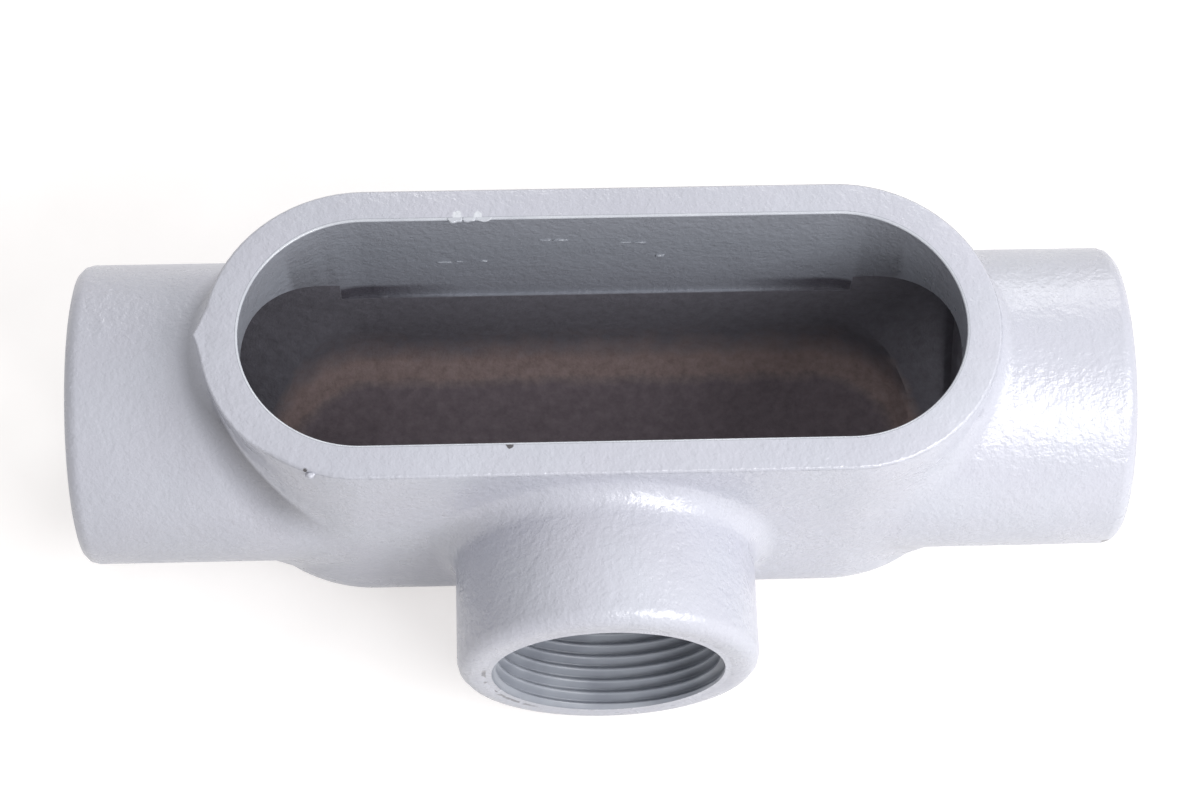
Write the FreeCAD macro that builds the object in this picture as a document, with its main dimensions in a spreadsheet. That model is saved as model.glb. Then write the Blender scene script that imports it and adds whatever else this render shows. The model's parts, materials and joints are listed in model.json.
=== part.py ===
"""T-pattern conduit body for 1 1/4 inch pipe, cast in one piece and open at the top for its cover.

Millimetres. The run of the conduit is the X axis, the branch hub leaves toward -Y and the cover
opening faces +Z. The origin is on the flat back, under the crossing of the run and branch axes.
"""
import FreeCAD
import Part
import Sketcher
import collections
import math
import os

NODE = "conduit_body"

SIZES = {
    # pipe thread, left as a plain bore at its root
    "threadroot": 41.6,       # diameter
    "threadlength": 20.0,
    "mouthchamfer": 0.5,
    # integral bushing behind each thread, which guards the wires
    "bushingstep": 3.2,       # stands in from the thread's root
    "bushinglength": 5.4,
    "bushingbevel": 1.4,      # its edge toward the cavity
    # hubs
    "hubwall": 5.85,          # outside the thread's root, end hubs
    "branchwall": 5.3,        # the same, branch hub
    "runlength": 184.0,       # face to face of the end hubs
    "faceround": 2.6,         # outer edge of each hub's face
    "endbevel": 3.0,          # where an end hub leaves the housing
    "branchblend": 4.6,       # cast fillet where the branch hub leaves it
    # cores, the round ways from the bushings to the cavity
    "corewall": 4.35,         # hub wall round a core
    "endcore": 4.3,           # from an end bushing to the cavity's end
    "branchcore": 3.8,        # from the branch bushing to the cavity's side
    # housing, outside
    "sidemargin": 0.35,       # housing stands out past the end hubs on each side, at the seat
    "backmargin": 1.05,       # and below them
    "seatmargin": 5.65,       # and above them, up to the cover seat
    "draft": 0.55,            # degrees, walls lean in toward the cover seat
    "backround": 12.5,        # edge all round the back
    "seatbevel": 0.6,         # outer edge of the cover seat
    # housing, inside
    "seatwidth": 5.6,         # ring that the cover's gasket rests on
    "ledgerise": 2.9,         # ledge where the two cores met, above the run axis
    "ledgestep": 0.5,
    "coreinset": 0.6,         # sides of the run's core stand in from the opening's
    "floorthickness": 4.8,
    "floorround": 8.5,
}

HUB_RADIUS = "(Sizes.threadroot / 2 + Sizes.hubwall)"
BRANCH_RADIUS = "(Sizes.threadroot / 2 + Sizes.branchwall)"
THREAD_RADIUS = "(Sizes.threadroot / 2)"
BUSHING_RADIUS = "(Sizes.threadroot / 2 - Sizes.bushingstep)"
CORE_RADIUS = f"({HUB_RADIUS} - Sizes.corewall)"
AXIS_HEIGHT = f"({HUB_RADIUS} + Sizes.backmargin)"
SEAT_HEIGHT = f"({AXIS_HEIGHT} + {HUB_RADIUS} + Sizes.seatmargin)"
LEDGE_HEIGHT = f"({AXIS_HEIGHT} + Sizes.ledgerise)"
SEAT_RADIUS = f"({HUB_RADIUS} + Sizes.sidemargin)"
BACK_RADIUS = f"({SEAT_RADIUS} + {SEAT_HEIGHT} * tan(Sizes.draft * 1 deg))"
OPENING_RADIUS = f"({SEAT_RADIUS} - Sizes.seatwidth)"
LOWER_RADIUS = f"({OPENING_RADIUS} - Sizes.ledgestep)"
HUB_DEPTH = "(Sizes.threadlength + Sizes.bushinglength)"
END_REACH = "(Sizes.runlength / 2)"
BRANCH_REACH = f"({OPENING_RADIUS} + Sizes.branchcore + {HUB_DEPTH})"
ARC_REACH = f"({END_REACH} - {HUB_DEPTH} - Sizes.endcore - {OPENING_RADIUS})"

Hub = collections.namedtuple("Hub", "name turn outward reach radius")
UP = FreeCAD.Vector(0, 0, 1)
RUN = FreeCAD.Vector(1, 0, 0)
BRANCH = FreeCAD.Vector(0, -1, 0)
HUBS = (
    Hub("RightHub", 0.0, RUN, END_REACH, HUB_RADIUS),
    Hub("LeftHub", 180.0, -RUN, END_REACH, HUB_RADIUS),
    Hub("BranchHub", -90.0, BRANCH, BRANCH_REACH, BRANCH_RADIUS),
)
QUARTER_TURN = math.pi / 2
TINY = 1e-6

# The rounds of the hub faces and of the cavity's floor, a quarter turn each, are made of flats.
ROUND_FLATS = 3
FLAT_TURN = 90 / ROUND_FLATS

# Rough first places for sketch geometry, which its constraints then move.
ROUGH_REACH = 40.0
ROUGH_RADIUS = 25.0
ROUGH_ROUND = 2.0


def make_sheet(doc):
    """The driving sizes, one named cell each."""
    sheet = doc.addObject("Spreadsheet::Sheet", "Sizes")
    for row, (name, value) in enumerate(SIZES.items(), start=1):
        sheet.set(f"A{row}", name)
        sheet.set(f"B{row}", str(value))
        sheet.setAlias(f"B{row}", name)
    doc.recompute()
    return sheet


def new_sketch(body, name, role, lift="0 mm", turn=0.0):
    """An empty sketch on one of the body's origin planes, lifted off it and turned on it."""
    plane = next(item for item in body.Origin.OriginFeatures if item.Role == role)
    sketch = body.newObject("Sketcher::SketchObject", name)
    sketch.AttachmentSupport = (plane, "")
    sketch.MapMode = "FlatFace"
    sketch.AttachmentOffset = FreeCAD.Placement(FreeCAD.Vector(), FreeCAD.Rotation(UP, turn))
    sketch.setExpression("AttachmentOffset.Base.z", lift)
    return sketch


def join(sketch, kind, *places):
    """Adds a constraint that has no size."""
    sketch.addConstraint(Sketcher.Constraint(kind, *places))


def bind(sketch, kind, *places, size):
    """Adds a dimension, with its rough value last of the places, and ties it to an expression."""
    index = sketch.addConstraint(Sketcher.Constraint(kind, *places))
    sketch.setExpression(f"Constraints[{index}]", size)


def add_arc(sketch, x, y, start, end):
    circle = Part.Circle(FreeCAD.Vector(x, y, 0), UP, ROUGH_RADIUS)
    return sketch.addGeometry(Part.ArcOfCircle(circle, start, end))


def add_line(sketch, start, end):
    return sketch.addGeometry(Part.LineSegment(FreeCAD.Vector(*start), FreeCAD.Vector(*end)))


def draw_stadium(sketch, radius):
    """Two half circles joined by tangent lines, centred on the sketch's origin."""
    reach, edge = ROUGH_REACH, ROUGH_RADIUS
    right = add_arc(sketch, reach, 0, -QUARTER_TURN, QUARTER_TURN)
    left = add_arc(sketch, -reach, 0, QUARTER_TURN, 3 * QUARTER_TURN)
    top = add_line(sketch, (reach, edge), (-reach, edge))
    bottom = add_line(sketch, (-reach, -edge), (reach, -edge))
    for first, second in ((right, top), (top, left), (left, bottom), (bottom, right)):
        join(sketch, "Tangent", first, 2, second, 1)
    join(sketch, "Equal", left, right)
    join(sketch, "PointOnObject", left, 3, -1)
    join(sketch, "PointOnObject", right, 3, -1)
    bind(sketch, "Radius", right, edge, size=radius)
    bind(sketch, "DistanceX", -1, 1, right, 3, reach, size=ARC_REACH)
    bind(sketch, "DistanceX", left, 3, -1, 1, reach, size=ARC_REACH)


def draw_bore(sketch, reach):
    """Half section of a hub's bore: thread at the face, then the bushing up to the core."""
    inner, step, outer = 30.0, 60.0, 80.0
    axis, narrow, wide = 0.0, 15.0, ROUGH_RADIUS
    rough = [(inner, axis), (outer, axis), (outer, wide), (step, wide), (step, narrow), (inner, narrow)]
    lines = [add_line(sketch, rough[i - 1], rough[i]) for i in range(len(rough))]
    for i in range(len(lines)):
        join(sketch, "Coincident", lines[i - 1], 2, lines[i], 1)
    close, floor, mouth, thread, shoulder, bushing = lines
    for level in (floor, thread, bushing):
        join(sketch, "Horizontal", level)
    for upright in (close, mouth, shoulder):
        join(sketch, "Vertical", upright)
    join(sketch, "PointOnObject", floor, 1, -1)
    bind(sketch, "DistanceX", -1, 1, mouth, 1, outer, size=reach)
    bind(sketch, "DistanceX", shoulder, 1, mouth, 1, outer - step, size="Sizes.threadlength")
    bind(sketch, "DistanceX", bushing, 2, shoulder, 1, step - inner, size="Sizes.bushinglength")
    bind(sketch, "DistanceY", -1, 1, mouth, 2, wide, size=THREAD_RADIUS)
    bind(sketch, "DistanceY", -1, 1, bushing, 1, narrow, size=BUSHING_RADIUS)


def draw_barrel(sketch, reach, radius):
    """Half section of a hub, from the middle of the housing to its face and the rounded edge."""
    far, edge, ease = 2 * ROUGH_REACH, ROUGH_RADIUS, ROUGH_ROUND
    turns = [FLAT_TURN * step for step in range(ROUND_FLATS + 1)]
    corner = [
        (far - ease * (1 - math.cos(math.radians(turn))), edge - ease * (1 - math.sin(math.radians(turn))))
        for turn in turns
    ]
    places = [(0, 0), (far, 0), *corner, (0, edge)]
    lines = [add_line(sketch, *ends) for ends in zip(places, places[1:] + places[:1])]
    for first, second in zip(lines, lines[1:] + lines[:1]):
        join(sketch, "Coincident", first, 2, second, 1)
    floor, face, *flats, side, middle = lines
    join(sketch, "Coincident", floor, 1, -1, 1)
    join(sketch, "Horizontal", floor)
    join(sketch, "Horizontal", side)
    join(sketch, "Vertical", face)
    join(sketch, "Vertical", middle)
    bind(sketch, "DistanceX", -1, 1, face, 1, far, size=reach)
    bind(sketch, "DistanceY", -1, 1, side, 2, edge, size=radius)
    for flat, turn, (rough_x, _) in zip(flats, turns[1:], corner[1:]):
        inset = f"Sizes.faceround * (1 - cos({turn} deg))"
        bind(sketch, "DistanceX", -1, 1, flat, 2, rough_x, size=f"{reach} - {inset}")
    for flat, turn, (_, rough_y) in zip(flats, turns, corner):
        inset = f"Sizes.faceround * (1 - sin({turn} deg))"
        bind(sketch, "DistanceY", -1, 1, flat, 1, rough_y, size=f"{radius} - {inset}")


def draw_run_core(sketch):
    """A circle on the run axis with its two sides cut flat, seen along the run."""
    tilt = QUARTER_TURN / 3
    flat, rise = ROUGH_RADIUS * math.cos(tilt), ROUGH_RADIUS * math.sin(tilt)
    height = ROUGH_REACH
    top = add_arc(sketch, 0, height, tilt, 2 * QUARTER_TURN - tilt)
    bottom = add_arc(sketch, 0, height, 2 * QUARTER_TURN + tilt, 4 * QUARTER_TURN - tilt)
    right = add_line(sketch, (flat, height - rise), (flat, height + rise))
    left = add_line(sketch, (-flat, height + rise), (-flat, height - rise))
    for first, second in ((right, top), (top, left), (left, bottom), (bottom, right)):
        join(sketch, "Coincident", first, 2, second, 1)
    join(sketch, "Coincident", top, 3, bottom, 3)
    join(sketch, "PointOnObject", top, 3, -2)
    join(sketch, "Vertical", right)
    join(sketch, "Vertical", left)
    half_width = f"{OPENING_RADIUS} - Sizes.coreinset"
    bind(sketch, "Radius", top, ROUGH_RADIUS, size=CORE_RADIUS)
    bind(sketch, "DistanceY", -1, 1, top, 3, height, size=AXIS_HEIGHT)
    bind(sketch, "DistanceX", -1, 1, right, 1, flat, size=half_width)
    bind(sketch, "DistanceX", left, 1, -1, 1, flat, size=half_width)


def draw_branch_core(sketch):
    """A circle on the branch axis, seen along the branch."""
    circle = sketch.addGeometry(
        Part.Circle(FreeCAD.Vector(0, ROUGH_REACH, 0), UP, ROUGH_RADIUS)
    )
    join(sketch, "PointOnObject", circle, 3, -2)
    bind(sketch, "Radius", circle, ROUGH_RADIUS, size=CORE_RADIUS)
    bind(sketch, "DistanceY", -1, 1, circle, 3, ROUGH_REACH, size=AXIS_HEIGHT)


def has_axis(face, direction):
    """True for a plane, cylinder, cone or torus whose axis lies along the direction."""
    axis = getattr(face.Surface, "Axis", None)
    return axis is not None and abs(axis.dot(direction)) > 1.0 - TINY


def is_round(face, direction, radius):
    """True for a cylinder of that radius along the direction."""
    if face.Surface.TypeId != "Part::GeomCylinder" or not has_axis(face, direction):
        return False
    return abs(face.Surface.Radius - radius) < TINY


def is_flat(face, direction, distance=None):
    """True for a flat face square to the direction, at that distance along it if one is given."""
    if face.Surface.TypeId != "Part::GeomPlane" or not has_axis(face, direction):
        return False
    return distance is None or abs(face.CenterOfGravity.dot(direction) - distance) < TINY


class Casting:
    """The body as it grows, feature by feature."""

    def __init__(self, doc):
        self.doc = doc
        self.body = doc.addObject("PartDesign::Body", "ConduitBody")
        self.body.Label = NODE

    def number(self, expression):
        """What an expression comes to, in millimetres."""
        return float(self.body.evalExpression(expression))

    def add(self, kind, name, sketch, **expressions):
        """A pad, pocket, revolution or groove of the sketch."""
        feature = self.body.newObject(kind, name)
        feature.Profile = sketch
        for prop, expression in expressions.items():
            feature.setExpression(prop, expression)
        return feature

    def cut(self, feature, before):
        """Recomputes and makes sure that the feature took metal away."""
        self.doc.recompute()
        if feature.Shape.isNull() or feature.Shape.Volume > before - 1.0:
            raise RuntimeError(f"{feature.Name} cut nothing")

    def edges_between(self, one_side, other_side):
        """Names of the edges with a face of one sort on one side and of the other on the other."""
        shape = self.body.Tip.Shape
        names = []
        for index, edge in enumerate(shape.Edges, start=1):
            faces = shape.ancestorsOfType(edge, Part.Face)
            if len(faces) != 2 or faces[0].isSame(faces[1]):
                continue
            for here, there in (faces, faces[::-1]):
                if one_side(here) and other_side(there):
                    names.append(f"Edge{index}")
                    break
        return names

    def finish_edges(self, kind, name, prop, size, names):
        """A fillet or chamfer on the named edges."""
        if not names:
            raise RuntimeError(f"{name} found no edge")
        base = self.body.Tip
        feature = self.body.newObject(kind, name)
        feature.Base = (base, names)
        feature.setExpression(prop, size)
        self.doc.recompute()

    def fillet(self, name, radius, names):
        self.finish_edges("PartDesign::Fillet", name, "Radius", radius, names)

    def chamfer(self, name, size, names):
        self.finish_edges("PartDesign::Chamfer", name, "Size", size, names)


def add_housing(casting):
    """The drafted oblong housing with its rounded back."""
    outline = new_sketch(casting.body, "BackOutline", "XY_Plane")
    draw_stadium(outline, BACK_RADIUS)
    casting.add("PartDesign::Pad", "Housing", outline, Length=SEAT_HEIGHT, TaperAngle="-Sizes.draft")
    casting.doc.recompute()
    casting.fillet("BackRound", "Sizes.backround", casting.edges_between(
        lambda face: is_flat(face, UP, 0.0),
        lambda face: not is_flat(face, UP),
    ))


def add_hub(casting, hub):
    """A round hub, turned about its axis."""
    outline = new_sketch(casting.body, f"{hub.name}Outline", "XY_Plane", AXIS_HEIGHT, hub.turn)
    draw_barrel(outline, hub.reach, hub.radius)
    barrel = casting.add("PartDesign::Revolution", hub.name, outline)
    barrel.ReferenceAxis = (outline, ["H_Axis"])
    casting.doc.recompute()


def blend_hub(casting, hub, finish, size):
    """The cast blend all round where the hub leaves the housing."""
    radius = casting.number(hub.radius)
    face_start = casting.number(f"{hub.reach} - Sizes.faceround")

    def barrel(face):
        return is_round(face, hub.outward, radius) and face.CenterOfGravity.dot(hub.outward) > 0

    def housing(face):
        return not is_round(face, hub.outward, radius) and face.CenterOfGravity.dot(hub.outward) < face_start

    finish(f"{hub.name}Blend", size, casting.edges_between(barrel, housing))


def add_well(casting, name, lift, radius, depth, lean=0.0):
    """Sinks one oblong step of the cavity from that height, with its walls leaning in."""
    before = casting.body.Tip.Shape.Volume
    outline = new_sketch(casting.body, f"{name}Outline", "XY_Plane", lift)
    draw_stadium(outline, radius)
    well = casting.add("PartDesign::Pocket", name, outline, Length=depth, TaperAngle=f"{-lean} deg")
    casting.cut(well, before)


def add_cavity(casting):
    """The wiring space: an oblong well, a slightly smaller one below the ledge, a rounded floor."""
    add_well(casting, "UpperWell", SEAT_HEIGHT, OPENING_RADIUS, f"{SEAT_HEIGHT} - {LEDGE_HEIGHT}")
    floor_start = "(Sizes.floorthickness + Sizes.floorround)"
    add_well(casting, "LowerWell", LEDGE_HEIGHT, LOWER_RADIUS, f"{LEDGE_HEIGHT} - {floor_start}")
    for step in range(ROUND_FLATS):
        start, end = step * FLAT_TURN, (step + 1) * FLAT_TURN
        add_well(
            casting,
            f"Floor{step + 1}",
            f"{floor_start} - Sizes.floorround * sin({start} deg)",
            f"{LOWER_RADIUS} - Sizes.floorround * (1 - cos({start} deg))",
            f"Sizes.floorround * (sin({end} deg) - sin({start} deg))",
            (start + end) / 2,
        )


def add_cores(casting):
    """The round ways from the cavity into the hubs, up to the bushings."""
    before = casting.body.Tip.Shape.Volume
    outline = new_sketch(casting.body, "RunCoreOutline", "YZ_Plane")
    draw_run_core(outline)
    run = casting.add(
        "PartDesign::Pocket", "RunCore", outline, Length=f"Sizes.runlength - 2 * {HUB_DEPTH}"
    )
    run.Midplane = True
    casting.cut(run, before)
    before = casting.body.Tip.Shape.Volume
    outline = new_sketch(casting.body, "BranchCoreOutline", "XZ_Plane")
    draw_branch_core(outline)
    branch = casting.add(
        "PartDesign::Pocket", "BranchCore", outline, Length=f"{BRANCH_REACH} - {HUB_DEPTH}"
    )
    branch.Reversed = True
    casting.cut(branch, before)


def add_bore(casting, hub):
    """The thread's bore and the narrower bushing behind it."""
    before = casting.body.Tip.Shape.Volume
    outline = new_sketch(casting.body, f"{hub.name}BoreOutline", "XY_Plane", AXIS_HEIGHT, hub.turn)
    draw_bore(outline, hub.reach)
    bore = casting.add("PartDesign::Groove", f"{hub.name}Bore", outline)
    bore.ReferenceAxis = (outline, ["H_Axis"])
    casting.cut(bore, before)


def finish_hub(casting, hub):
    """The bevelled mouth and the bevelled inner edge of the bushing."""
    parts = (
        ("Mouth", THREAD_RADIUS, hub.reach, "Sizes.mouthchamfer"),
        ("Bushing", BUSHING_RADIUS, f"({hub.reach} - {HUB_DEPTH})", "Sizes.bushingbevel"),
    )
    for suffix, round_expression, flat_expression, size in parts:
        radius, distance = casting.number(round_expression), casting.number(flat_expression)
        casting.chamfer(f"{hub.name}{suffix}", size, casting.edges_between(
            lambda face: is_round(face, hub.outward, radius) and face.CenterOfGravity.dot(hub.outward) > 0,
            lambda face: is_flat(face, hub.outward, distance),
        ))


def finish_seat(casting):
    """The bevelled outer edge of the cover seat."""
    height, opening = casting.number(SEAT_HEIGHT), casting.number(OPENING_RADIUS)

    def seat(face):
        return is_flat(face, UP, height)

    def outside(face):
        side = face.CenterOfGravity.y if face.Surface.TypeId == "Part::GeomPlane" else None
        return not is_round(face, UP, opening) and (side is None or abs(side) > opening + TINY)

    casting.chamfer("SeatBevel", "Sizes.seatbevel", casting.edges_between(seat, outside))


def check(doc):
    """Stops if any object failed or the casting isn't one sound solid."""
    for item in doc.Objects:
        if "Invalid" in item.State or "Error" in item.State:
            raise RuntimeError(f"{item.Name}: {item.State}")
    shape = doc.ConduitBody.Shape
    if shape.isNull() or not shape.isValid() or len(shape.Solids) != 1:
        raise RuntimeError("the casting isn't one valid solid")


def main():
    doc = FreeCAD.newDocument("ConduitBody")
    make_sheet(doc)
    casting = Casting(doc)
    add_housing(casting)
    for hub in HUBS:
        add_hub(casting, hub)
    right, left, branch = HUBS
    blend_hub(casting, right, casting.chamfer, "Sizes.endbevel")
    blend_hub(casting, left, casting.chamfer, "Sizes.endbevel")
    blend_hub(casting, branch, casting.fillet, "Sizes.branchblend")
    add_cavity(casting)
    add_cores(casting)
    for hub in HUBS:
        add_bore(casting, hub)
    for hub in HUBS:
        finish_hub(casting, hub)
    finish_seat(casting)
    check(doc)
    os.makedirs("parts", exist_ok=True)
    casting.body.Shape.exportStep(os.path.join("parts", f"{NODE}.step"))
    print(f"{NODE}: {casting.body.Shape.Volume / 1000:.1f} cm3")


if __name__ == "__main__":
    main()
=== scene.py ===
"""Looks of the conduit body: painted casting, pipe threads, small flaws, floor, light and camera.

Metres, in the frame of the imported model: the run is X, the branch leaves toward -Y, the cover
opening faces +Z and the flat back rests on the floor.
"""
import bmesh
import bpy
import json
import math
from mathutils import Matrix, Vector, noise


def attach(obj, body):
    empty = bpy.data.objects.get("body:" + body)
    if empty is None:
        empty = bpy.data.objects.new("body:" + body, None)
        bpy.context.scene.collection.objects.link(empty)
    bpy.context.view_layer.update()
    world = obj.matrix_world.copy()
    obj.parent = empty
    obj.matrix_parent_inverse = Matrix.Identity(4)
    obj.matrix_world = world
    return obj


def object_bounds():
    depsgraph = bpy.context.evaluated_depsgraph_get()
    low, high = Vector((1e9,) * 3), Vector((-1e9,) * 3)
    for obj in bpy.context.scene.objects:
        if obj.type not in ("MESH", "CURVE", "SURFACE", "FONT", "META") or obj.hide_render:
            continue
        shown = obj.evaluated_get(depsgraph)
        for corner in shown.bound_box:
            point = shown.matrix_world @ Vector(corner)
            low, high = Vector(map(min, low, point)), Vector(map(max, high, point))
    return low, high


MM = 0.001


def linear(red, green, blue):
    """An sRGB colour, 0 to 255, as Blender's linear colour."""
    def channel(value):
        """One of its three channels."""
        value /= 255
        return value / 12.92 if value <= 0.04045 else ((value + 0.055) / 1.055) ** 2.4
    return (channel(red), channel(green), channel(blue), 1.0)


def grey(value):
    """A linear grey, 0 to 1."""
    return (value, value, value, 1.0)


# Pipe thread, 1 1/4 - 11.5 NPT, wound on the wall of each hub's bore
PITCH = 25.4 / 11.5 * MM
TAPER = 1 / 32                   # on the radius
THREAD_HEIGHT = 1.45 * MM
ENTRY = 0.01 * MM                # behind the face
MOUTH_CHAMFER = 0.5 * MM         # of the casting, filled by the paint
MOUTH_FILL = 0.62 * MM           # how far the paint narrows the thread's root at the face
MOUTH_EASE = 1.2 * MM            # depth over which that fades
MOUTH_SLOPE = 0.75               # how steeply the first ridge may rise behind the face
WALL_CLEARANCE = 0.05 * MM       # from the bore to the thread's root at the face
WALL_GAP = 0.01 * MM             # from the bore to the sleeve's plain outside
WELD = 0.001 * MM                # the thread's points that are closer than this become one
COLUMNS = 144                    # round the bore

# One pitch of thread, rounded by the paint: how far along, and how high the ridge stands
RIDGE = (
    (0.00, 0.00), (0.07, 0.02), (0.12, 0.12), (0.35, 0.82), (0.41, 0.96),
    (0.50, 1.00), (0.59, 0.96), (0.65, 0.82), (0.88, 0.12), (0.93, 0.02),
)

# The casting's opening, seat and ledge, as its source has them
ARC_REACH = 40.9 * MM            # from the middle to the centre of each round end
OPENING_RADIUS = 21.4 * MM
SEAT_RADIUS = 27.0 * MM
LEDGE_HEIGHT = 30.6 * MM

# Edges of the colour masks: where each lies, and the blur across it
WELL_EDGE = (OPENING_RADIUS + 0.06 * MM, 0.05 * MM)
LEDGE_EDGE = (LEDGE_HEIGHT - 0.2 * MM, 0.3 * MM)
CORE_EDGE = (22.6 * MM, 0.2 * MM)              # from the axis of a hub
RUN_CORE_END = (71.5 * MM, 1.0 * MM)           # the bushings included
BRANCH_CORE_END = (30.1 * MM, 1.0 * MM)
BRANCH_CORE_START = (0.0, 0.2 * MM)
# Painted shade on the wall's lower ends, by the cores
WALL_SHADE_TOP = (LEDGE_HEIGHT + 3.8 * MM, 1.2 * MM)
WALL_SHADE_START = (32 * MM, 16 * MM)                # along the run
FLOOR_EDGE = (15.2 * MM, 1.6 * MM)             # from the hollow's middle line
# A rusty round about the floor, lightened by a painted pool of light
LIT_RUST_INSIDE = (15.2 * MM, 2.2 * MM)
LIT_RUST_OUTSIDE = (19.8 * MM, 2.6 * MM)
LIT_RUST_TOP = (15 * MM, 4 * MM)
# Painted shade in the crease between the left hub and the seat's swollen end
CREASE_OUTSIDE = (SEAT_RADIUS + 2.6 * MM, 5.0 * MM)
CREASE_INSIDE = (SEAT_RADIUS + 0.25 * MM, 0.3 * MM)
CREASE_START = (-50 * MM, 12 * MM)
CREASE_BOTTOM = (36 * MM, 10 * MM)
CREASE_TOP = (55 * MM, 3 * MM)
CREASE_SHADE = 0.85               # how much of the colour it changes

# Where the paint is chipped round the branch's mouth
CHIP_DEPTH = 0.6 * MM            # behind the face
CHIP_BLUR = 0.2 * MM
CHIP_OUTSIDE = (21.9 * MM, 0.3 * MM)
CHIP_INSIDE = (21.2 * MM, 0.2 * MM)
CHIP_SIDE = (-13 * MM, 3 * MM)
CHIP_RISE = 3 * MM               # above the branch's axis, over as much blur
CHIP_SHARE = (0.46, 0.05)        # of the noise
CHIP_WEAR = 0.7                  # how much of the colour it changes

# Grain of each noise: features a metre, detail and roughness
PAINT_TONE_GRAIN = (28, 3)
PAINT_MAUVE_GRAIN = (75, 2)
PAINT_GLOSS_GRAIN = (160, 2)
RAGGED_GRAIN = (260, 4, 0.65)
SAND_GRAIN = (520, 4, 0.7)
CHIP_GRAIN = (420, 2)
SPOT_GRAIN = (1800, 2)
PAPER_GRAIN = (60, 2)

# Relief of the casting under its paint: grain, then height
CASTING_RELIEF = (
    ((170, 2), 0.14 * MM), ((520, 3, 0.6), 0.22 * MM), ((1200, 2, 0.6), 0.13 * MM),
)

# Colours and roughness of the casting, by the noise that spreads them
PAINT_TONES = (
    (0.3, linear(183, 186, 196)), (0.5, linear(189, 192, 202)), (0.7, linear(195, 198, 208)),
)
PAINT_MAUVE = linear(192, 188, 201)
MAUVE_SHARE = 0.5
# Enamel on the opening's wall: thinner paint, darkened further by painted shade that deepens toward
# the ledge
THIN_AND_SHADED_PAINT = (                   # by height, as a share of the seat's
    (0.50, linear(130, 133, 143)), (0.80, linear(140, 144, 153)), (0.99, linear(150, 153, 162)),
)
IRON_WALL = ((0.3, linear(80, 78, 86)), (0.7, linear(97, 95, 104)))
IRON_FLOOR = ((0.3, linear(96, 86, 92)), (0.7, linear(118, 106, 113)))
# rust, made lighter as a painted pool of light on the floor's round
LIT_RUST = ((0.3, linear(118, 100, 98)), (0.7, linear(146, 128, 126)))
# dark grey of the painted shade on the wall's lower ends
WALL_END_SHADE = linear(77, 76, 85)
# grey of the painted shade in the crease by the left hub
CREASE_SHADE_GREY = linear(96, 96, 104)
# near-white of the painted highlights beside the burr on the far rim
BURR_GLINT_WHITE = linear(216, 219, 226)
FLAW_DARK = linear(70, 66, 70)
PAINT_GLOSS = ((0.35, grey(0.25)), (0.7, grey(0.36)))
IRON_ROUGHNESS = grey(0.85)
PAINT_SHINE = 0.9                # specular level
RAGGED_REACH = 3 * MM            # how far the edges of the rusty, painted-lit round wander

# Enamel on the threads and in beads: grain and stops of colour and gloss, then relief
# The thread's colours are darkened as painted shade inside the bore
SHADED_THREAD_COAT = (
    (90, 3), ((0.35, linear(134, 138, 148)), (0.65, linear(157, 161, 170))),
    (300, 2), ((0.35, grey(0.32)), (0.7, grey(0.46))),
    (900, 2),
)
THREAD_SHINE = 0.5
BEAD_COAT = (
    (110, 3), ((0.35, linear(188, 191, 200)), (0.65, linear(202, 205, 213))),
    (400, 2), ((0.35, grey(0.16)), (0.7, grey(0.26))),
    (500, 2),
)
COAT_STRENGTH = 0.5
COAT_RELIEF = 0.06 * MM

# Places of small flaws
FAR_BURR = Vector((-22.4, 21.3, 59.75)) * MM
RIM_BLOB = Vector((-49.4, -25.9, 59.2)) * MM
SPECKS_LEFT = Vector((-25.0, 21.35, 43.3)) * MM
SPECKS_MIDDLE = Vector((-8.1, 21.35, 51.0)) * MM
SPECKS_RIGHT = Vector((7.4, 21.35, 48.4)) * MM

# Spots of colour: place and radius
RIM_PIT = (Vector((-50.2, -25.3, 59.8)) * MM, 0.5 * MM)
LIP_NOTCH = (Vector((-16.3, -21.4, 59.8)) * MM, 0.8 * MM)
HUB_NICK = (Vector((89.6, -26.1, 22.2)) * MM, 0.9 * MM)
# painted highlights on the far rim, beside the burr
GLINT_LEFT = (FAR_BURR + Vector((-2.2, 0.5, 0.2)) * MM, 0.9 * MM)
GLINT_RIGHT = (FAR_BURR + Vector((1.4, 0.4, 0.2)) * MM, 0.8 * MM)
SPOT_REACH = 1.4                 # in radii, less what the noise takes off
SPOT_BLUR = 0.25

# Lumps of paint: place, then offset from it, length and height in millimetres
BURR_RUNS = (
    (FAR_BURR, (-2.6, -0.15, -0.05), 2.8, 0.62),
    (FAR_BURR, (-0.2, -0.15, -0.05), 2.2, 0.50),
    (FAR_BURR, (2.3, -0.15, -0.05), 2.8, 0.56),
)
PAINT_LUMPS = (
    (RIM_BLOB, (0, 0, 0), 1.6, 0.55),
    (SPECKS_LEFT, (-2.2, 0, 0.0), 2.4, 0.18),
    (SPECKS_LEFT, (0.4, 0, 0.1), 1.2, 0.14),
    (SPECKS_LEFT, (4.8, 0, 0.2), 1.3, 0.22),
    (SPECKS_MIDDLE, (-1.3, 0, 0.1), 2.2, 0.15),
    (SPECKS_MIDDLE, (1.4, 0, 0.0), 2.4, 0.17),
    (SPECKS_RIGHT, (-2.7, 0, 1.3), 2.0, 0.15),
    (SPECKS_RIGHT, (-0.1, 0, 1.2), 2.2, 0.16),
    (SPECKS_RIGHT, (3.6, 0, -3.9), 1.6, 0.3),
)
LUMP_TOP = FAR_BURR.z + 0.24 * MM
LUMP_UNEVEN = 0.45
LUMP_GRAIN = 1.3
LUMP_DETAIL = 3

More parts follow.
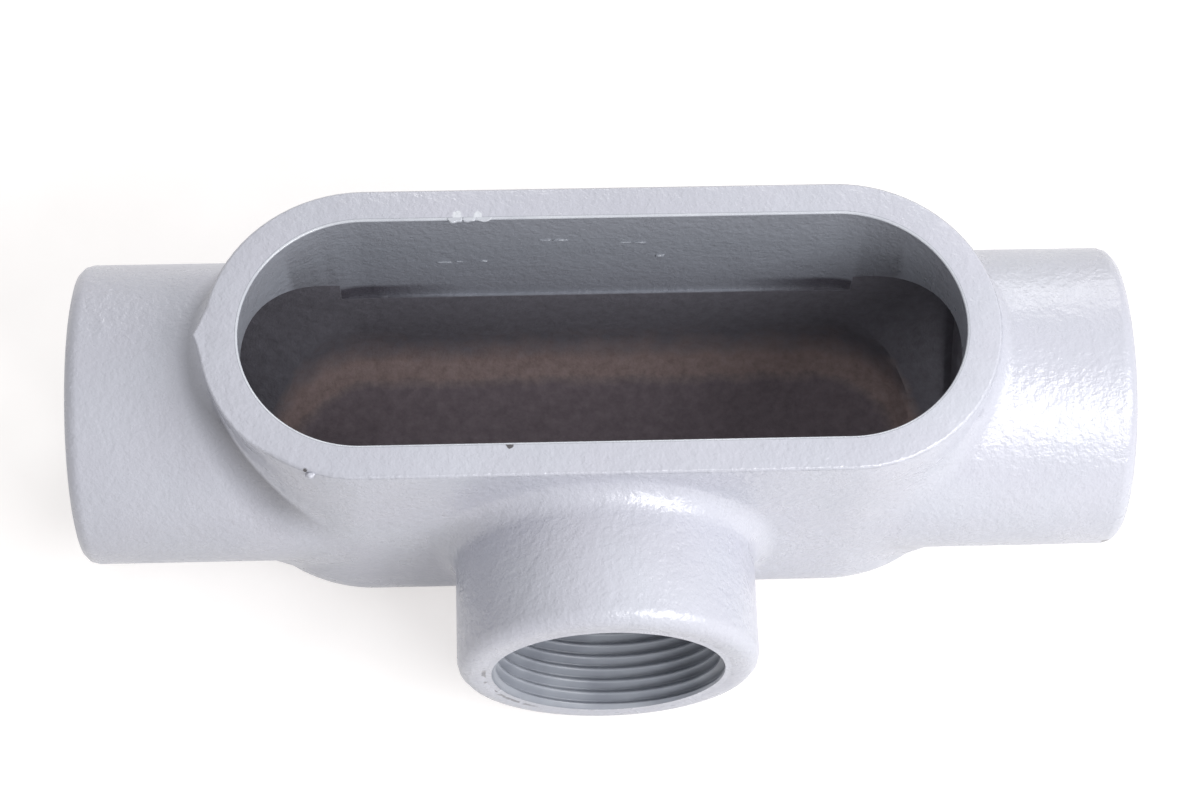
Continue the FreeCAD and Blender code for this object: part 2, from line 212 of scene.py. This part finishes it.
# The swelling of the seat's edge at the left end, measured outward from its round
SWELL_BACK = math.radians(20)    # where it starts, on the far side of the run
SWELL_FRONT = math.radians(-66)
SWELL_EASE = math.radians(22)
SWELL = 1.15 * MM                # bulge between its ends
SWELL_TIP = 1.2 * MM             # height of the blunt point on it
SWELL_TIP_TURN = math.radians(4.5)
SWELL_START = -0.7 * MM          # its two ends sink into the casting
SWELL_DEPTH = 8.0 * MM           # from the seat down
SWELL_ROOT = 1.4 * MM            # how far its inner side lies inside the seat's edge
SWELL_FOOT = 0.5 * MM            # and its foot
SWELL_STEPS = 120

# Its section from the top down: share of the reach lost, then millimetres inward and down
SWELL_SECTION = (
    (0.00, 0.45, 0.02), (0.00, 0.15, 0.12), (0.00, 0.00, 0.45), (0.12, 0.00, 1.6),
    (0.45, 0.00, 3.6),
)

# Section of the bead on the opening's edge, in millimetres outward and down
LIP_SECTION = (
    (0.15, 0.03), (0.04, 0.01), (-0.12, 0.015), (-0.27, 0.07),
    (-0.37, 0.18), (-0.41, 0.33), (-0.37, 0.50), (-0.20, 0.80), (0.10, 1.10),
)
LIP_STEPS = 240

# Camera, high over the branch and a little to its left
AZIMUTH = math.radians(-4.396)
ELEVATION = math.radians(65.593)
ROLL = math.radians(2.897)
DISTANCE = 484.68 * MM
AIM = (-1.03 * MM, -13.62 * MM)  # where it looks, at the height of the cover seat
LENS = 86.85                     # millimetres
SENSOR = 36
NEAR_CLIP = 10 * MM

# Studio: each lamp has a name, a place, a width, a height and a power in watts
LAMPS = (
    ("key", (0.25, -0.22, 0.30), 0.36, 0.22, 1.7),
    ("back", (0.16, 0.60, 0.32), 0.50, 0.30, 1.5),
)
LAMP_AIM = Vector((0, 0, 0.04))
STUDIO = 0.54                    # strength of the white room's light
FLOOR_SIZE = 6.0
PAPER_TONES = ((0.3, grey(0.53)), (0.7, grey(0.57)))
PAPER_ROUGHNESS = 0.9
PAPER_GLOW = (1.0, 0.965, 0.95, 1.0)
PAPER_STRENGTH = 0.61

# Shading of the casting's rounds
SMOOTH_UNDER = math.radians(50)  # edges that turn less are cast or painted round
SEAM = 0.002 * MM                # the casting's faces share the points that are closer than this
FACE_WEIGHT = 90                 # of 100: large faces decide the shading


class Nodes:
    """Short hand for building the node tree of a material or a world."""

    def __init__(self, owner, shader):
        owner.use_nodes = True
        self.owner = owner
        self.tree = owner.node_tree
        self.shader = self.tree.nodes[shader]
        self.grit = None

    def add(self, kind, **settings):
        """A new node with these settings."""
        node = self.tree.nodes.new(kind)
        for key, value in settings.items():
            setattr(node, key, value)
        return node

    def link(self, source, target):
        """Runs an output into an input."""
        self.tree.links.new(source, target)

    def plug(self, socket, value):
        """Gives a socket an output, or a plain number or colour."""
        if isinstance(value, (int, float, tuple, Vector)):
            socket.default_value = value
        else:
            self.link(value, socket)

    def shade(self, **values):
        """Sets or links the shader's own sockets, named with _ for a space."""
        for name, value in values.items():
            self.plug(self.shader.inputs[name.replace("_", " ")], value)

    def where(self):
        """The place on the object, in metres."""
        return self.add("ShaderNodeTexCoord").outputs["Object"]

    def position(self):
        """The same place as the outputs X, Y and Z."""
        split = self.add("ShaderNodeSeparateXYZ")
        self.link(self.where(), split.inputs["Vector"])
        return split.outputs["X"], split.outputs["Y"], split.outputs["Z"]

    def math(self, operation, first, second=0.0, clamp=False):
        """One sum, each side of which is an output or a number."""
        node = self.add("ShaderNodeMath", operation=operation, use_clamp=clamp)
        self.plug(node.inputs[0], first)
        self.plug(node.inputs[1], second)
        return node.outputs["Value"]

    def length(self, first, second):
        """How long the vector with these two parts is."""
        first = self.math("MULTIPLY", first, first)
        second = self.math("MULTIPLY", second, second)
        return self.math("SQRT", self.math("ADD", first, second))

    def below(self, value, limit, blur):
        """1 where the value lies under the limit and 0 over it, softened across the blur."""
        under = self.math("DIVIDE", self.math("SUBTRACT", limit, value), blur)
        return self.math("ADD", under, 0.5, clamp=True)

    def above(self, value, limit, blur):
        """1 where the value lies over the limit and 0 under it, softened across the blur."""
        return self.without(self.below(value, limit, blur))

    def without(self, mask):
        """1 where the mask is 0, and the other way round."""
        return self.math("SUBTRACT", 1.0, mask)

    def both(self, *masks):
        """The masks' overlap."""
        product = masks[0]
        for mask in masks[1:]:
            product = self.math("MULTIPLY", product, mask)
        return product

    def either(self, *masks):
        """All that any of the masks covers."""
        most = masks[0]
        for mask in masks[1:]:
            most = self.math("MAXIMUM", most, mask)
        return most

    def spot(self, middle, radius):
        """1 round one place, with a ragged edge."""
        gap = self.add("ShaderNodeVectorMath", operation="DISTANCE")
        self.link(self.where(), gap.inputs[0])
        self.plug(gap.inputs[1], middle)
        if self.grit is None:
            self.grit = self.noise(SPOT_GRAIN)
        ragged = self.math("MULTIPLY", self.grit, radius)
        reach = self.math("ADD", gap.outputs["Value"], ragged)
        return self.below(reach, SPOT_REACH * radius, SPOT_BLUR * radius)

    def seen(self):
        """1 for what the camera sees, also in a gloss, and 0 for light that falls on things."""
        rays = self.add("ShaderNodeLightPath").outputs
        return self.either(rays["Is Camera Ray"], rays["Is Glossy Ray"])

    def mix(self, amount, first, second):
        """The first colour where the amount is 0 and the second where it is 1."""
        mix = self.add("ShaderNodeMix", data_type="RGBA")
        colours = [socket for socket in mix.inputs if socket.type == "RGBA"]
        self.plug(mix.inputs["Factor"], amount)
        self.plug(colours[0], first)
        self.plug(colours[1], second)
        return next(socket for socket in mix.outputs if socket.type == "RGBA")

    def noise(self, grain):
        """Noise in the object's own metres. A grain is features a metre, detail and roughness."""
        node = self.add("ShaderNodeTexNoise")
        for name, value in zip(("Scale", "Detail", "Roughness"), grain):
            node.inputs[name].default_value = value
        self.link(self.where(), node.inputs["Vector"])
        return node.outputs["Fac"]

    def ramp(self, source, stops):
        """Spreads the stops' colours over the source's values."""
        node = self.add("ShaderNodeValToRGB")
        elements = node.color_ramp.elements
        while len(elements) < len(stops):
            elements.new(0.5)
        for element, (place, colour) in zip(elements, stops):
            element.position = place
            element.color = colour
        self.link(source, node.inputs["Fac"])
        return node.outputs["Color"]

    def bump(self, grain, strength, height, normal=None):
        """Relief of this grain and height, on top of an earlier one where a normal is given."""
        node = self.add("ShaderNodeBump")
        node.inputs["Strength"].default_value = strength
        node.inputs["Distance"].default_value = height
        self.link(self.noise(grain), node.inputs["Height"])
        if normal is not None:
            self.link(normal, node.inputs["Normal"])
        return node.outputs["Normal"]


def material_nodes(name):
    """The nodes of a new material."""
    return Nodes(bpy.data.materials.new(name), "Principled BSDF")


def middle_distance(nodes):
    """How far the surface is from the hollow's middle line, seen from above."""
    x, y, _ = nodes.position()
    past_arc = nodes.math("SUBTRACT", nodes.math("ABSOLUTE", x), ARC_REACH)
    return nodes.length(nodes.math("MAXIMUM", past_arc, 0.0), y)


def core_ways(nodes, axis_height):
    """Where the surface is a core or a bushing of one of the hubs."""
    x, y, z = nodes.position()
    height = nodes.math("SUBTRACT", z, axis_height)
    run = nodes.both(
        nodes.below(nodes.length(y, height), *CORE_EDGE),
        nodes.below(nodes.math("ABSOLUTE", x), *RUN_CORE_END),
    )
    branch = nodes.both(
        nodes.below(nodes.length(x, height), *CORE_EDGE),
        nodes.below(nodes.math("MULTIPLY", y, -1.0), *BRANCH_CORE_END),
        nodes.below(y, *BRANCH_CORE_START),
    )
    return nodes.either(run, branch)


def hollow_masks(nodes, axis_height):
    """Where the surface is bare iron in the hollow, and where it is painted wall over the ledge."""
    _, _, z = nodes.position()
    well = nodes.below(middle_distance(nodes), *WELL_EDGE)
    wall = nodes.both(well, nodes.above(z, *LEDGE_EDGE))
    under_ledge = nodes.math("SUBTRACT", well, wall)
    cores = nodes.both(core_ways(nodes, axis_height), nodes.without(wall))
    return nodes.either(under_ledge, cores), wall


def shaded_wall_ends(nodes, wall):
    """Where painted shade darkens the wall down to the ledge, toward the cores."""
    x, _, z = nodes.position()
    return nodes.both(
        wall,
        nodes.below(z, *WALL_SHADE_TOP),
        nodes.above(nodes.math("ABSOLUTE", x), *WALL_SHADE_START),
    )


def bare_iron(nodes):
    """Dark brown floor, a rusty round about it made lighter by a painted pool of light, and grey
    walls up to the ledge.
    """
    _, _, z = nodes.position()
    ragged = nodes.math("MULTIPLY", nodes.noise(RAGGED_GRAIN), RAGGED_REACH)
    wander = nodes.math("SUBTRACT", ragged, RAGGED_REACH / 2)
    reach = nodes.math("ADD", middle_distance(nodes), wander)
    # rust on the floor's round, lightened as a painted pool of light
    lit_rust = nodes.both(
        nodes.above(reach, *LIT_RUST_INSIDE),
        nodes.below(reach, *LIT_RUST_OUTSIDE),
        nodes.below(z, *LIT_RUST_TOP),
    )
    sand = nodes.noise(SAND_GRAIN)
    floor = nodes.below(reach, *FLOOR_EDGE)
    colour = nodes.mix(floor, nodes.ramp(sand, IRON_WALL), nodes.ramp(sand, IRON_FLOOR))
    return nodes.mix(lit_rust, colour, nodes.ramp(sand, LIT_RUST))


def outside_paint(nodes):
    """Light grey enamel whose thickness varies a little, with a hint of blue or mauve."""
    tone = nodes.ramp(nodes.noise(PAINT_TONE_GRAIN), PAINT_TONES)
    mauve = nodes.math("MULTIPLY", nodes.noise(PAINT_MAUVE_GRAIN), MAUVE_SHARE)
    return nodes.mix(mauve, tone, PAINT_MAUVE)


def thin_and_shaded_paint(nodes, seat_height):
    """The same enamel on the wall of the opening, thinner and darker toward the ledge; the
    darkening is partly painted shade of the hollow.
    """
    _, _, z = nodes.position()
    return nodes.ramp(nodes.math("MULTIPLY", z, 1 / seat_height), THIN_AND_SHADED_PAINT)


def crease_shade(nodes):
    """Painted shade in the crease between the left hub and the swollen end of the seat."""
    x, _, z = nodes.position()
    from_middle = middle_distance(nodes)
    return nodes.both(
        nodes.below(from_middle, *CREASE_OUTSIDE),
        nodes.above(from_middle, *CREASE_INSIDE),
        nodes.below(x, *CREASE_START),
        nodes.above(z, *CREASE_BOTTOM),
        nodes.below(z, *CREASE_TOP),
        CREASE_SHADE,
    )


def mouth_chips(nodes, face_y, axis_height):
    """Where the paint is gone round the lower left of the branch's mouth."""
    x, y, z = nodes.position()
    off_axis = nodes.length(x, nodes.math("SUBTRACT", z, axis_height))
    return nodes.both(
        nodes.below(y, face_y + CHIP_DEPTH, CHIP_BLUR),
        nodes.below(off_axis, *CHIP_OUTSIDE),
        nodes.above(off_axis, *CHIP_INSIDE),
        nodes.below(x, *CHIP_SIDE),
        nodes.below(z, axis_height + CHIP_RISE, CHIP_RISE),
        nodes.above(nodes.noise(CHIP_GRAIN), *CHIP_SHARE),
        CHIP_WEAR,
    )


def painted_casting(axis_height, face_y, seat_height):
    """Semi-gloss enamel over a sand casting, bare in the depths of its hollow."""
    nodes = material_nodes("painted_casting")
    bare, wall = hollow_masks(nodes, axis_height)
    # painted highlights beside the burr on the far rim
    glints = nodes.either(nodes.spot(*GLINT_LEFT), nodes.spot(*GLINT_RIGHT))
    pits = nodes.either(nodes.spot(*RIM_PIT), nodes.spot(*LIP_NOTCH), nodes.spot(*HUB_NICK))
    flaws = nodes.either(mouth_chips(nodes, face_y, axis_height), pits)
    # the opening's wall: thinner enamel with painted shade
    colour = nodes.mix(wall, outside_paint(nodes), thin_and_shaded_paint(nodes, seat_height))
    # painted shade on the wall's lower ends
    colour = nodes.mix(shaded_wall_ends(nodes, wall), colour, WALL_END_SHADE)
    # painted shade in the left crease
    colour = nodes.mix(crease_shade(nodes), colour, CREASE_SHADE_GREY)
    # painted highlights
    colour = nodes.mix(glints, colour, BURR_GLINT_WHITE)
    colour = nodes.mix(bare, colour, bare_iron(nodes))
    colour = nodes.mix(flaws, colour, FLAW_DARK)
    gloss = nodes.ramp(nodes.noise(PAINT_GLOSS_GRAIN), PAINT_GLOSS)
    relief = None
    for grain, height in CASTING_RELIEF:
        relief = nodes.bump(grain, 1.0, height, relief)
    nodes.shade(
        Base_Color=colour,
        Roughness=nodes.mix(bare, gloss, IRON_ROUGHNESS),
        Specular_IOR_Level=PAINT_SHINE,
        Normal=relief,
    )
    return nodes.owner


def plain_enamel(name, coat, shine):
    """Enamel whose colour, gloss and surface vary a little."""
    nodes = material_nodes(name)
    tone_grain, tones, gloss_grain, glosses, relief_grain = coat
    nodes.shade(
        Base_Color=nodes.ramp(nodes.noise(tone_grain), tones),
        Roughness=nodes.ramp(nodes.noise(gloss_grain), glosses),
        Specular_IOR_Level=shine,
        Normal=nodes.bump(relief_grain, COAT_STRENGTH, COAT_RELIEF),
    )
    return nodes.owner


def painted_thread():
    """The same enamel on the cut thread, darker as painted shade inside the bore, and duller."""
    return plain_enamel("painted_thread", SHADED_THREAD_COAT, THREAD_SHINE)


def painted_bead():
    """Enamel that has run together along an edge, smoother than elsewhere."""
    return plain_enamel("painted_bead", BEAD_COAT, PAINT_SHINE)


def floor_paper():
    """White paper that burns out to the camera and still takes the casting's shadow."""
    nodes = material_nodes("floor_paper")
    nodes.shade(
        Base_Color=nodes.ramp(nodes.noise(PAPER_GRAIN), PAPER_TONES),
        Roughness=PAPER_ROUGHNESS,
        Emission_Color=PAPER_GLOW,
        Emission_Strength=nodes.math("MULTIPLY", nodes.seen(), PAPER_STRENGTH),
    )
    return nodes.owner


def add_piece(name, mesh, material):
    """Puts a mesh in the scene as part of the casting."""
    mesh.materials.append(material)
    for polygon in mesh.polygons:
        polygon.use_smooth = True
    piece = bpy.data.objects.new(name, mesh)
    bpy.context.scene.collection.objects.link(piece)
    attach(piece, "root")
    return piece


def keep_mesh(work, mesh):
    """Ends the work on a mesh, with its faces turned outward."""
    bmesh.ops.recalc_face_normals(work, faces=work.faces)
    work.to_mesh(mesh)
    work.free()


def thread_point(depth, along, root):
    """Radius of the threaded wall at this depth behind the face, so many pitches along."""
    step = along % 1.0
    marks = RIDGE + ((1.0, 0.0),)
    ridge = 0.0
    for (start, low), (end, high) in zip(marks, marks[1:]):
        if start <= step <= end:
            ridge = low + (high - low) * (step - start) / (end - start)
            break
    wall = root - WALL_CLEARANCE - TAPER * depth
    most = min(wall, root - MOUTH_FILL * (1 - depth / MOUTH_EASE))
    least = min(root - MOUTH_FILL - MOUTH_SLOPE * depth, most)
    return min(max(wall - ridge * THREAD_HEIGHT, least), most)


def ridge_mesh(name, face, axis, root, length):
    """The threaded wall: columns along the bore, whose rows follow the ridge as it winds."""
    up = Vector((0, 0, 1))
    across = axis.cross(up)
    # a lap more at each end, so that the ridge fills the bore once its depth is clamped
    laps = math.ceil(length / PITCH) + 2
    tall = laps * len(RIDGE)
    points = []
    for column in range(COLUMNS):
        turn = column / COLUMNS
        angle = 2 * math.pi * turn
        spoke = across * math.cos(angle) + up * math.sin(angle)
        for row in range(tall):
            lap, mark = divmod(row, len(RIDGE))
            along = lap - 1 + RIDGE[mark][0]
            depth = min(max((along + turn) * PITCH, ENTRY), length)
            radius = thread_point(depth, depth / PITCH - turn, root)
            points.append(face - axis * depth + spoke * radius)
    faces = []
    for column in range(COLUMNS):
        after = (column + 1) % COLUMNS
        # one whole turn on, the same ridge lies a pitch deeper
        shift = 0 if after else len(RIDGE)
        for row in range(tall - 1 - shift):
            near = column * tall + row
            far = after * tall + row + shift
            faces.append((near, far, far + 1, near + 1))
    mesh = bpy.data.meshes.new(name)
    mesh.from_pydata(points, [], faces)
    return mesh


def grow_ring(work, edges, face, axis, depth, radius):
    """Extrudes a ring of edges to another depth and radius of the bore."""
    grown = bmesh.ops.extrude_edge_only(work, edges=edges)["geom"]
    for vert in grown:
        if isinstance(vert, bmesh.types.BMVert):
            offset = vert.co - face
            spoke = (offset - axis * offset.dot(axis)).normalized()
            vert.co = face - axis * depth + spoke * radius
    return [edge for edge in grown if isinstance(edge, bmesh.types.BMEdge) and edge.is_boundary]


def close_sleeve(mesh, face, axis, root, length):
    """Welds the thread's clamped ends, fills the mouth's chamfer and adds a plain outside."""
    work = bmesh.new()
    work.from_mesh(mesh)
    bmesh.ops.remove_doubles(work, verts=work.verts, dist=WELD)
    bmesh.ops.dissolve_degenerate(work, edges=work.edges, dist=WELD)
    rims = [edge for edge in work.edges if edge.is_boundary]
    mouth = [edge for edge in rims if (face - edge.verts[0].co).dot(axis) < length / 2]
    deep = [edge for edge in rims if (face - edge.verts[0].co).dot(axis) >= length / 2]
    outside = root - WALL_GAP
    mouth = grow_ring(work, mouth, face, axis, ENTRY, outside + MOUTH_CHAMFER - ENTRY)
    mouth = grow_ring(work, mouth, face, axis, MOUTH_CHAMFER, outside)
    deep = grow_ring(work, deep, face, axis, length, outside)
    bmesh.ops.bridge_loops(work, edges=mouth + deep)
    keep_mesh(work, mesh)


def make_thread(mount, material, enamel):
    """A closed sleeve in a hub's bore, plain outside and with the thread's ridge inside."""
    name = mount["name"] + "_thread"
    root = mount["dims"]["r_mm"] * MM
    length = mount["dims"]["length_mm"] * MM
    axis = Vector(mount["axis"])
    face = Vector(mount["pos_m"]) + axis * length / 2
    mesh = ridge_mesh(name, face, axis, root, length)
    close_sleeve(mesh, face, axis, root, length)
    add_piece(name, mesh, material)
    mesh.materials.append(enamel)
    for polygon in mesh.polygons:
        if (face - polygon.center).dot(axis) < 2 * ENTRY:
            polygon.material_index = 1
            polygon.use_smooth = False


def skin_rings(name, rings, closed):
    """A mesh through a row of like outlines, which is a loop or has both its ends capped."""
    count = len(rings[0])
    points = [point for ring in rings for point in ring]
    faces = []
    for step in range(len(rings) if closed else len(rings) - 1):
        here = step * count
        there = (step + 1) % len(rings) * count
        for corner in range(count):
            after = (corner + 1) % count
            faces.append((here + corner, there + corner, there + after, here + after))
    if not closed:
        faces.append(tuple(range(count)))
        faces.append(tuple(range(len(points) - count, len(points)))[::-1])
    mesh = bpy.data.meshes.new(name)
    mesh.from_pydata(points, [], faces)
    work = bmesh.new()
    work.from_mesh(mesh)
    keep_mesh(work, mesh)
    return mesh


def eased(turn):
    """Rises softly from 0 to 1 over the swelling's ease."""
    share = min(max(turn / SWELL_EASE, 0.0), 1.0)
    return share * share * (3 - 2 * share)


def swell_reach(turn):
    """How far the seat's edge stands past its round end, where the far side is positive."""
    body = SWELL * min(eased(turn - SWELL_FRONT), eased(SWELL_BACK - turn))
    return SWELL_START + body + SWELL_TIP * math.exp(-abs(turn) / SWELL_TIP_TURN)


def swell_section(reach):
    """The swelling's outline from its top down, as radius and drop below the seat."""
    inner = SEAT_RADIUS - SWELL_ROOT
    outline = [(inner, SWELL_SECTION[0][-1] * MM)]
    for lost, inward, drop in SWELL_SECTION:
        outline.append((SEAT_RADIUS + reach - lost * reach - inward * MM, drop * MM))
    return outline + [(SEAT_RADIUS - SWELL_FOOT, SWELL_DEPTH), (inner, SWELL_DEPTH)]


def make_swelling(seat_height, material):
    """The seat's edge bulges at its left end and comes to a blunt point."""
    rings = []
    for step in range(SWELL_STEPS + 1):
        turn = SWELL_BACK + (SWELL_FRONT - SWELL_BACK) * step / SWELL_STEPS
        across, along = math.sin(turn), -math.cos(turn)
        rings.append([
            (radius * along - ARC_REACH, radius * across, seat_height - drop)
            for radius, drop in swell_section(swell_reach(turn))
        ])
    return add_piece("rim_swelling", skin_rings("rim_swelling", rings, closed=False), material)


def opening_point(outward, step):
    """A point so far outside the opening's outline, and so many steps round it."""
    turn = 2 * math.pi * step / LIP_STEPS
    side = ARC_REACH if math.cos(turn) >= 0 else -ARC_REACH
    radius = OPENING_RADIUS + outward
    return side + radius * math.cos(turn), radius * math.sin(turn)


def make_lip(seat_height, material):
    """The bead of paint along the opening's edge."""
    rings = [
        [(*opening_point(outward * MM, step + 0.5), seat_height - drop * MM)
         for outward, drop in LIP_SECTION]
        for step in range(LIP_STEPS)
    ]
    add_piece("opening_lip", skin_rings("opening_lip", rings, closed=True), material)


def add_lump(work, place, length, height):
    """A drip or grain of sand under the paint, long along the run and uneven."""
    ball = bmesh.ops.create_icosphere(work, subdivisions=LUMP_DETAIL, radius=1.0)["verts"]
    size = Vector((length / 2, height, height))
    for vert in ball:
        rough = 1 + LUMP_UNEVEN * noise.noise(vert.co * LUMP_GRAIN + place / MM)
        vert.co = place + vert.co * size * rough
        vert.co.z = min(vert.co.z, LUMP_TOP)


def make_lumps(name, lumps, material):
    """Lumps of paint as one piece."""
    work = bmesh.new()
    for place, offset, length, height in lumps:
        add_lump(work, place + Vector(offset) * MM, length * MM, height * MM)
    mesh = bpy.data.meshes.new(name)
    keep_mesh(work, mesh)
    add_piece(name, mesh, material)


def make_floor():
    """A square of white paper under the casting."""
    half = FLOOR_SIZE / 2
    corners = [(-half, -half, 0), (half, -half, 0), (half, half, 0), (-half, half, 0)]
    mesh = bpy.data.meshes.new("floor")
    mesh.from_pydata(corners, [], [(0, 1, 2, 3)])
    mesh.materials.append(floor_paper())
    floor = bpy.data.objects.new("floor", mesh)
    bpy.context.scene.collection.objects.link(floor)


def add_lamp(name, place, width, height, power):
    """A soft rectangular lamp that faces the casting."""
    light = bpy.data.lights.new(name, "AREA")
    light.shape = "RECTANGLE"
    light.size = width
    light.size_y = height
    light.energy = power
    lamp = bpy.data.objects.new(name, light)
    lamp.location = place
    lamp.rotation_mode = "QUATERNION"
    lamp.rotation_quaternion = (LAMP_AIM - Vector(place)).to_track_quat("-Z", "Y")
    bpy.context.scene.collection.objects.link(lamp)


def light_studio():
    """A white room, seen as plain white, that lights the casting evenly from all sides."""
    nodes = Nodes(bpy.data.worlds.new("studio"), "Background")
    brighter = nodes.math("MULTIPLY", nodes.seen(), 1.0 - STUDIO)
    nodes.shade(Color=grey(1.0), Strength=nodes.math("ADD", brighter, STUDIO))
    bpy.context.scene.world = nodes.owner


def place_camera(seat_height):
    """Looks down at the cover seat from its distance, turned a little about its own axis."""
    back = Vector((
        math.sin(AZIMUTH) * math.cos(ELEVATION),
        -math.cos(AZIMUTH) * math.cos(ELEVATION),
        math.sin(ELEVATION),
    ))
    level = Vector((math.cos(AZIMUTH), math.sin(AZIMUTH), 0))
    upright = back.cross(level)
    right = level * math.cos(ROLL) + upright * math.sin(ROLL)
    up = upright * math.cos(ROLL) - level * math.sin(ROLL)
    camera = bpy.data.objects.new("camera", bpy.data.cameras.new("camera"))
    camera.data.lens = LENS
    camera.data.sensor_width = SENSOR
    camera.data.clip_start = NEAR_CLIP
    turned = Matrix((right, up, back)).transposed().to_4x4()
    aim = Vector((*AIM, seat_height))
    camera.matrix_world = Matrix.Translation(aim + back * DISTANCE) @ turned
    bpy.context.scene.collection.objects.link(camera)
    bpy.context.scene.camera = camera


def smoothing_group():
    """Joins the faces' points, shades all faces smooth and keeps the sharper edges crisp."""
    group = bpy.data.node_groups.new("smooth_rounds", "GeometryNodeTree")
    group.interface.new_socket("Geometry", in_out="INPUT", socket_type="NodeSocketGeometry")
    group.interface.new_socket("Geometry", in_out="OUTPUT", socket_type="NodeSocketGeometry")
    enter = group.nodes.new("NodeGroupInput")
    leave = group.nodes.new("NodeGroupOutput")
    merge = group.nodes.new("GeometryNodeMergeByDistance")
    merge.inputs["Distance"].default_value = SEAM
    faces = group.nodes.new("GeometryNodeSetShadeSmooth")
    edges = group.nodes.new("GeometryNodeSetShadeSmooth")
    edges.domain = "EDGE"
    edges.inputs["Shade Smooth"].default_value = False
    angle = group.nodes.new("GeometryNodeInputMeshEdgeAngle")
    compare = group.nodes.new("FunctionNodeCompare")
    compare.operation = "GREATER_THAN"
    compare.inputs["B"].default_value = SMOOTH_UNDER
    group.links.new(angle.outputs["Unsigned Angle"], compare.inputs["A"])
    group.links.new(compare.outputs["Result"], edges.inputs["Selection"])
    group.links.new(enter.outputs[0], merge.inputs["Geometry"])
    group.links.new(merge.outputs[0], faces.inputs["Geometry"])
    group.links.new(faces.outputs[0], edges.inputs["Geometry"])
    group.links.new(edges.outputs[0], leave.inputs[0])
    return group


def smooth_rounds(piece):
    """Shades the flats of the casting's rounds as one curve and keeps its real corners crisp."""
    piece.modifiers.new("smooth_rounds", "NODES").node_group = smoothing_group()
    weighted = piece.modifiers.new("weighted_normals", "WEIGHTED_NORMAL")
    weighted.mode = "FACE_AREA"
    weighted.weight = FACE_WEIGHT
    weighted.keep_sharp = True


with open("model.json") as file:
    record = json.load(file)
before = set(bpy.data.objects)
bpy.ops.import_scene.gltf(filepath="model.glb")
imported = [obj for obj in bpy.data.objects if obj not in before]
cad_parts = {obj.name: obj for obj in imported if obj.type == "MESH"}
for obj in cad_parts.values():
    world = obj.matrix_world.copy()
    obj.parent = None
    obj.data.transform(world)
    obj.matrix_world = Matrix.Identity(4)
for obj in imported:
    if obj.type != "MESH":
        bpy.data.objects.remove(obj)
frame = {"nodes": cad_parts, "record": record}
cad_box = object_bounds()
face_y = cad_box[0].y
seat_height = cad_box[1].z
mounts = {mount["name"]: mount for mount in frame["record"]["mounts"]}
axis_height = mounts["right_hub"]["pos_m"][2]

enamel = painted_casting(axis_height, face_y, seat_height)
# enamel of the threads, darkened by painted shade
shaded_thread_paint = painted_thread()
bead = painted_bead()

casting = frame["nodes"]["conduit_body"]
casting.data.materials.clear()
casting.data.materials.append(enamel)
smooth_rounds(casting)
for mount in mounts.values():
    if mount["kind"] == "threaded_hole":
        make_thread(mount, shaded_thread_paint, enamel)
smooth_rounds(make_swelling(seat_height, enamel))
make_lip(seat_height, bead)
make_lumps("rim_burr", BURR_RUNS, bead)
make_lumps("paint_lumps", PAINT_LUMPS, enamel)

make_floor()
light_studio()
for lamp in LAMPS:
    add_lamp(*lamp)
place_camera(seat_height)
bpy.context.scene.view_settings.view_transform = "Standard"
